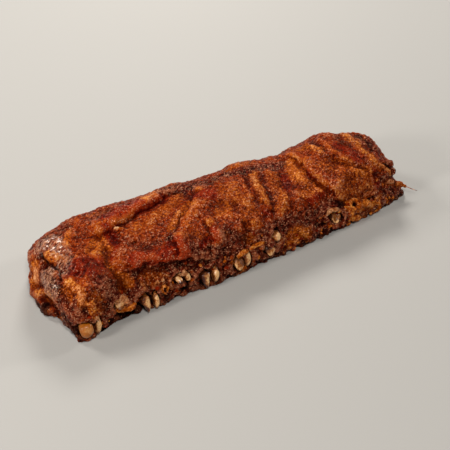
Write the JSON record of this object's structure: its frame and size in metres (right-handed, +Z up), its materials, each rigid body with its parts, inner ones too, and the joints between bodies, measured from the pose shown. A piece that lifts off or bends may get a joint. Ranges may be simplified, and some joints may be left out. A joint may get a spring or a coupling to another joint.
{
  "type": "rack of pork loin ribs",
  "caption": "Cooked rack of pork loin ribs, arched and meat side up, with sawn rib bone heads and thin button bones along one long edge.",
  "frame": {"origin": "under the middle of the rack, on the surface that its two long edges rest on", "axes": "+X along the rack from its thicker left end to its narrower right end, +Y from the near edge with the bone heads to the far edge, +Z up"},
  "size_m": [0.3762, 0.1285, 0.0561],
  "materials": {
    "meat": "glossy glazed meat with a grainy crust",
    "bone": "satin cream bone, browned by cooking"
  },
  "bodies": {
    "root": {"meat": "meat", "rib_bone_01": "bone", "rib_bone_02": "bone", "rib_bone_03": "bone", "rib_bone_04": "bone", "rib_bone_05": "bone", "rib_bone_06": "bone", "rib_bone_07": "bone", "rib_bone_08": "bone", "rib_bone_09": "bone", "rib_bone_10": "bone", "rib_bone_11": "bone", "button_bone_01": "bone", "button_bone_03": "bone", "button_bone_04": "bone", "button_bone_05": "bone", "button_bone_06": "bone", "button_bone_07": "bone"}
  },
  "joints": []
}
